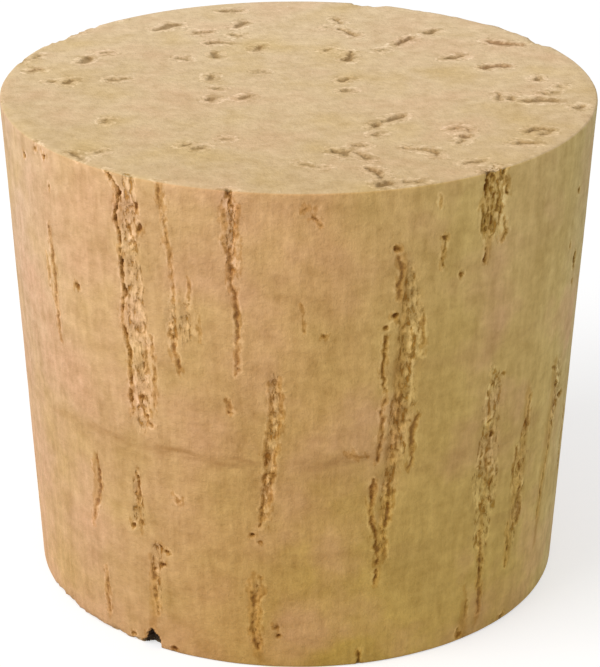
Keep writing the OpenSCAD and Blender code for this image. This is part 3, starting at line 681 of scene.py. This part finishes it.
material = bpy.data.materials.new("bark cork, cut and turned")
material.use_nodes = True
tree = material.node_tree
tree.nodes.clear()
out = addNode(tree, "OutputMaterial")
coords = addNode(tree, "TexCoord").outputs["Object"]
spot = addNode(tree, "Mapping", inputs={"Vector": coords, "Scale": [perMetre] * 3})
across, back, height = addNode(tree, "SeparateXYZ", inputs={0: spot.outputs[0]}).outputs
crackGap, crumbGap, rust, crackDark, stain, endGrain = [
    addNode(tree, "Attribute", {"attribute_name": name}).outputs["Fac"]
    for name in ("crackGap", "crumbGap", "rust", "crackDark", "stain", "endGrain")]
onSideOnly = addNode(tree, "Math", {"operation": "SUBTRACT"}, {0: 1.0, 1: endGrain}).outputs[0]
pinkMost, fray, highlightMost, crackSoft = [
    addNode(tree, "MapRange", inputs={0: endGrain, 3: onSides, 4: onEnds}).outputs[0]
    for onSides, onEnds in (bark["pinkMost"], bark["fray"], bark["highlightMost"], bark["crackSoft"])]
pattern = {}
for name, (wide, tall, detail, roughness) in bark["patterns"].items():
    scale = (perMetre / wide, perMetre / wide, perMetre / tall)
    stretch = addNode(tree, "Mapping", inputs={"Vector": coords, "Scale": scale})
    pattern[name] = addNode(tree, "TexNoise", inputs={
        "Vector": stretch.outputs[0], "Scale": 1.0, "Detail": detail, "Roughness": roughness}).outputs[0]

# Colour round the side and down it, darker towards the foot (partly the cork's tone, partly painted shade),
# and across the ends.
toFront = addNode(tree, "Math", product, {0: back, 1: -1.0})
turn = addNode(tree, "Math", {"operation": "ARCTAN2"}, {0: across, 1: toFront.outputs[0]})
roundIt = addNode(tree, "MapRange", inputs={0: turn.outputs[0], 1: -math.pi, 2: math.pi})
highTone, lowShadedTone = [
    addNode(tree, "ValToRGB", inputs={0: roundIt.outputs[0]},
            stops=[((degrees + 180) / 360, linear(code)) for degrees, code in tones])
    for tones in (bark["sideHigh"], bark["sideLowShaded"])]
upIt = addNode(tree, "MapRange", inputs={0: height, 1: bark["toneFrom"], 2: length - bark["toneFrom"]})
side = addNode(tree, "Mix", mixed, {0: upIt.outputs[0], 6: lowShadedTone.outputs[0], 7: highTone.outputs[0]})
backIt = addNode(tree, "MapRange", inputs={0: back, 1: -bark["endReach"], 2: bark["endReach"]})
end = addNode(tree, "Mix", mixed,
              {0: backIt.outputs[0], 6: linear(bark["endNear"]), 7: linear(bark["endFar"])})
base = addNode(tree, "Mix", mixed, {0: endGrain, 6: side.outputs[2], 7: end.outputs[2]})

# Pink and straw clouds.
pinkPart = addNode(tree, "MapRange", inputs={0: pattern["hue"], **bark["pinkFade"], 4: pinkMost})
strawPart = addNode(tree, "MapRange", inputs={0: pattern["hue"], **bark["strawFade"]})
pinked = addNode(tree, "Mix", mixed,
                 {0: pinkPart.outputs[0], 6: base.outputs[2], 7: linear(bark["pink"])})
hued = addNode(tree, "Mix", mixed,
               {0: strawPart.outputs[0], 6: pinked.outputs[2], 7: linear(bark["straw"])})

# Light and dark: clouds, wisps, upright fibres, level layers and the fine grain.
shade = 0.0
for name, (onSides, onEnds) in bark["shade"].items():
    middle = addNode(tree, "Math", {"operation": "SUBTRACT"}, {0: pattern[name], 1: 0.5})
    part = addNode(tree, "MapRange", inputs={0: endGrain, 3: onSides, 4: onEnds})
    added = addNode(tree, "Math", productSum, {0: middle.outputs[0], 1: part.outputs[0], 2: shade})
    shade = added.outputs[0]
warmShade = addNode(tree, "VectorMath", productSum, {0: shade, 1: bark["warm"], 2: (1, 1, 1)})
shaded = addNode(tree, "VectorMath", product, {0: hued.outputs[2], 1: warmShade.outputs[0]})

# Year lines: level and wavering, one strong and bent round the front, the others faint and broken.
bend = addNode(tree, "ValToRGB", inputs={0: roundIt.outputs[0]},
               stops=[((degrees + 180) / 360, [up / bark["bendTop"], strength, 0, 1])
                      for degrees, up, strength in bark["bend"]])
bendUp, bendStrength, _ = addNode(tree, "SeparateColor", inputs={0: bend.outputs[0]}).outputs
bendHeight = addNode(tree, "Math", productSum, {0: bendUp, 1: -bark["bendTop"], 2: height})
bendWaver = addNode(tree, "MapRange", inputs={0: pattern["waver"], **bark["bendWaver"]})
bendGap = addNode(tree, "Math", {"operation": "ADD"}, {0: bendHeight.outputs[0], 1: bendWaver.outputs[0]})
bendAway = addNode(tree, "Math", {"operation": "ABSOLUTE"}, {0: bendGap.outputs[0]})
bendLine = addNode(tree, "MapRange", smooth, {0: bendAway.outputs[0], **bark["bendFade"]})
bendBroken = addNode(tree, "MapRange", inputs={0: pattern["layers"], **bark["bendBroken"]})
bendMost = addNode(tree, "Math", product, {0: bendBroken.outputs[0], 1: bendStrength})
bendPart = addNode(tree, "Math", product, {0: bendLine.outputs[0], 1: bendMost.outputs[0]})
wavered = addNode(tree, "Math", productSum, {0: pattern["waver"], 1: bark["yearWaver"], 2: height})
yearHeight = addNode(tree, "MapRange", inputs={0: wavered.outputs[0], 1: 0.0, 2: bark["yearTop"]})
yearLine = addNode(tree, "ValToRGB", inputs={0: yearHeight.outputs[0]},
                   stops=[(up / bark["yearTop"], [strength, strength, strength, 1])
                          for up, strength in bark["years"]])
faded = addNode(tree, "MapRange", inputs={0: pattern["fading"], **bark["yearFade"]})
yearPart = addNode(tree, "Math", productSum,
                   {0: yearLine.outputs[0], 1: faded.outputs[0], 2: bendPart.outputs[0]})
yearSide = addNode(tree, "Math", product, {0: yearPart.outputs[0], 1: onSideOnly})
cleanCork = addNode(tree, "Mix", mixed,
                    {0: yearSide.outputs[0], 6: shaded.outputs[0], 7: linear(bark["yearLine"])})

# Crumbled channels: the same cork, torn into short upright brown dashes, with painted highlights on the
# chips between them.
crumbEdge = addNode(tree, "Math", productSum, {0: pattern["ragged"], 1: bark["crumbRagged"], 2: crumbGap})
crumbMask = addNode(tree, "MapRange", smooth, {0: crumbEdge.outputs[0], **bark["crumbFade"]})
dashMask = addNode(tree, "MapRange", smooth, {0: pattern["dashes"], **bark["dashFade"]})
crumbPart = addNode(tree, "Math", product, {0: dashMask.outputs[0], 1: crumbMask.outputs[0]})
crumbed = addNode(tree, "Mix", tinted,
                  {0: crumbPart.outputs[0], 6: cleanCork.outputs[2], 7: linear(bark["crumb"])})
chipHighlight = addNode(tree, "MapRange", smooth, {0: pattern["dashes"], **bark["chipHighlightFade"]})
chipHighlightPart = addNode(tree, "Math", product, {0: chipHighlight.outputs[0], 1: crumbMask.outputs[0]})

# Stains: soft ones round each crack and pit, and broad ones of their own. The painted highlights on the
# chips lie on top.
stainTint, crackTint, deepShadeTint = [
    addNode(tree, "Mix", mixed, {0: endGrain, 6: linear(onSides), 7: linear(onEnds)})
    for onSides, onEnds in (bark["stain"], bark["crack"], bark["crackDeepShaded"])]
onEnd = addNode(tree, "Math", productSum, {0: endGrain, 1: bark["stainEnd"], 2: crackGap})
stainEdge = addNode(tree, "Math", productSum,
                    {0: pattern["dashes"], 1: bark["stainRagged"], 2: onEnd.outputs[0]})
stainNear = addNode(tree, "MapRange", smooth, {0: stainEdge.outputs[0], **bark["stainFade"]})
stainPatch = addNode(tree, "Math", {"operation": "ADD"}, {0: pattern["ragged"], 1: stain})
stainBroad = addNode(tree, "MapRange", smooth, {0: stainPatch.outputs[0], **bark["stainBroad"]})
stainPart = addNode(tree, "Math", {"operation": "MAXIMUM"},
                    {0: stainNear.outputs[0], 1: stainBroad.outputs[0]})
stained = addNode(tree, "Mix", tinted,
                  {0: stainPart.outputs[0], 6: crumbed.outputs[2], 7: stainTint.outputs[2]})
chipHighlighted = addNode(tree, "Mix", tinted,
                  {0: chipHighlightPart.outputs[0], 6: stained.outputs[2], 7: bark["paintedHighlight"]})

# Cracks and pits: a painted highlight round them as on a lit lip, then brown or rusty, and darker towards
# their middle, partly their brown and partly painted shade in the hollow; nearly black, painted shadow, in
# the chip out of the rim.
frayedMiddle = addNode(tree, "Math", {"operation": "SUBTRACT"}, {0: pattern["frayed"], 1: 0.5})
crackEdge = addNode(tree, "Math", productSum, {0: frayedMiddle.outputs[0], 1: fray, 2: crackGap})
highlightEdge = addNode(tree, "Math", productSum, {0: endGrain, 1: bark["highlightEnd"], 2: crackEdge.outputs[0]})
highlightMask = addNode(tree, "MapRange", smooth, {0: highlightEdge.outputs[0], **bark["highlightFade"]})
highlightBroken = addNode(tree, "MapRange", inputs={0: pattern["ragged"], **bark["highlightBroken"], 4: highlightMost})
highlightPart = addNode(tree, "Math", product, {0: highlightMask.outputs[0], 1: highlightBroken.outputs[0]})
highlighted = addNode(tree, "Mix", tinted,
                 {0: highlightPart.outputs[0], 6: chipHighlighted.outputs[2], 7: bark["paintedHighlight"]})
rustPart = addNode(tree, "Math", product, {0: rust, 1: bark["rustMost"]})
rusty = addNode(tree, "Mix", mixed,
                {0: rustPart.outputs[0], 6: crumbed.outputs[2], 7: linear(bark["rust"])})
cracked = addNode(tree, "Mix", tinted, {0: 1.0, 6: rusty.outputs[2], 7: crackTint.outputs[2]})
deepShadePart = addNode(tree, "MapRange", inputs={0: crackEdge.outputs[0], **bark["deepShadeFade"]})
deepShaded = addNode(tree, "Mix", tinted,
                   {0: deepShadePart.outputs[0], 6: cracked.outputs[2], 7: deepShadeTint.outputs[2]})
crackMask = addNode(tree, "MapRange", smooth,
                    {0: crackEdge.outputs[0], 1: crackSoft, 2: bark["crackFull"]})
crackMost = addNode(tree, "MapRange", inputs={0: crackDark, **bark["darkFade"]})
crackPart = addNode(tree, "Math", product, {0: crackMask.outputs[0], 1: crackMost.outputs[0]})
opened = addNode(tree, "Mix", mixed,
                 {0: crackPart.outputs[0], 6: highlighted.outputs[2], 7: deepShaded.outputs[2]})
notchShadowMost = addNode(tree, "MapRange", inputs={0: crackDark, **bark["notchShadowFade"]})
notchShadowPart = addNode(tree, "Math", product, {0: crackMask.outputs[0], 1: notchShadowMost.outputs[0]})
colour = addNode(tree, "Mix", mixed,
                 {0: notchShadowPart.outputs[0], 6: opened.outputs[2], 7: linear(bark["notch"])})

# Bump: the grain, the fibres, and hollow dashes in the crumbled channels.
lumps = addNode(tree, "Math", productSum,
                {0: crumbPart.outputs[0], 1: bark["crumbBump"], 2: pattern["grain"]})
sideFibres = addNode(tree, "Math", product, {0: pattern["fibres"], 1: onSideOnly})
relief = addNode(tree, "Math", productSum,
                 {0: sideFibres.outputs[0], 1: bark["fibreBump"], 2: lumps.outputs[0]})
bump = addNode(tree, "Bump", inputs={**bark["bump"], "Height": relief.outputs[0]})
skin = addNode(tree, "BsdfPrincipled", inputs={
    "Base Color": colour.outputs[2], "Roughness": bark["roughness"], "Specular IOR Level": bark["specular"],
    "Normal": bump.outputs[0]})
tree.links.new(skin.outputs[0], out.inputs[0])
cork.data.materials.append(material)
print("cork finished")

studio = {
    "floorSize": 6.0,  # metres
    "floor": "#cbcbcb",
    "floorLift": 0.56,  # added where the floor is seen, and not to its light on the cork
    "world": 0.5,  # its light on the cork; where it is seen it is 1, white
    "keyPower": 4.1,  # watts
    "keySize": 0.6,
    "keyDistance": 0.8,
    "keyTurn": -60,  # degrees round from the front towards +X
    "keyRise": 40,  # degrees above level
    "keyAim": (0, 0, 0.02),  # the middle of the cork, in metres
}

# Pale matt paper floor, lit as any surface, in a plain pale room. Both are whiter where they are
# seen straight, in gloss or through glass.
paper = bpy.data.materials.new("matt white paper")
world = bpy.data.worlds.new("studio")
bpy.context.scene.world = world
largest = {"operation": "MAXIMUM"}
seenParts = []
for owner in (paper, world):
    owner.use_nodes = True
    tree = owner.node_tree
    tree.nodes.clear()
    rays = addNode(tree, "LightPath").outputs
    cameraOrGlossy = addNode(tree, "Math", largest, {0: rays["Is Camera Ray"], 1: rays["Is Glossy Ray"]})
    seen = addNode(tree, "Math", largest, {0: cameraOrGlossy.outputs[0], 1: rays["Is Transmission Ray"]})
    seenParts.append(seen.outputs[0])
floorSeen, worldSeen = seenParts

tree = paper.node_tree
lift = addNode(tree, "Math", product, {0: floorSeen, 1: studio["floorLift"]})
matt = addNode(tree, "BsdfDiffuse", inputs={"Color": linear(studio["floor"])})
glow = addNode(tree, "Emission", inputs={"Strength": lift.outputs[0]})
both = addNode(tree, "AddShader", inputs={0: matt.outputs[0], 1: glow.outputs[0]})
addNode(tree, "OutputMaterial", inputs={"Surface": both.outputs[0]})

tree = world.node_tree
strength = addNode(tree, "MapRange", inputs={0: worldSeen, 3: studio["world"], 4: 1.0})
sky = addNode(tree, "Background", inputs={"Color": (1, 1, 1, 1), "Strength": strength.outputs[0]})
addNode(tree, "OutputWorld", inputs={"Surface": sky.outputs[0]})

bm = bmesh.new()
bmesh.ops.create_grid(bm, x_segments=8, y_segments=8, size=studio["floorSize"] / 2)
floorMesh = bpy.data.meshes.new("studioFloor")
bm.to_mesh(floorMesh)
bm.free()
floorMesh.materials.append(paper)
floor = bpy.data.objects.new("studioFloor", floorMesh)
bpy.context.collection.objects.link(floor)


def direction(turn, rise):  # degrees round from the front towards +X, and above level
    turn, rise = math.radians(turn), math.radians(rise)
    return Vector((math.sin(turn) * math.cos(rise), -math.cos(turn) * math.cos(rise), math.sin(rise)))


towardsKey = direction(studio["keyTurn"], studio["keyRise"])
lamp = bpy.data.lights.new("softbox", "AREA")
lamp.shape, lamp.size, lamp.energy = "SQUARE", studio["keySize"], studio["keyPower"]
softbox = bpy.data.objects.new("softbox", lamp)
softbox.location = Vector(studio["keyAim"]) + towardsKey * studio["keyDistance"]
softbox.rotation_euler = towardsKey.to_track_quat("Z", "Y").to_euler()
bpy.context.collection.objects.link(softbox)

view = {
    "rise": 23.86,  # degrees above level
    "distance": 0.2068,  # metres from the target
    "target": (0.00017, 0.0, 0.017907),
    "roll": 0.24,  # degrees
    "lens": 143.8,
    "sensor": 36,
    "clip": (0.01, 20),
}
away = direction(0, view["rise"])
lens = bpy.data.cameras.new("camera")
lens.lens, lens.sensor_width = view["lens"], view["sensor"]
lens.clip_start, lens.clip_end = view["clip"]
camera = bpy.data.objects.new("camera", lens)
camera.location = Vector(view["target"]) + away * view["distance"]
look = away.to_track_quat("Z", "Y").to_matrix().to_4x4()
camera.rotation_euler = (look @ Matrix.Rotation(math.radians(view["roll"]), 4, "Z")).to_euler()
bpy.context.collection.objects.link(camera)
bpy.context.scene.camera = camera
bpy.context.scene.view_settings.view_transform = "Standard"
print("floor, lights and camera placed")
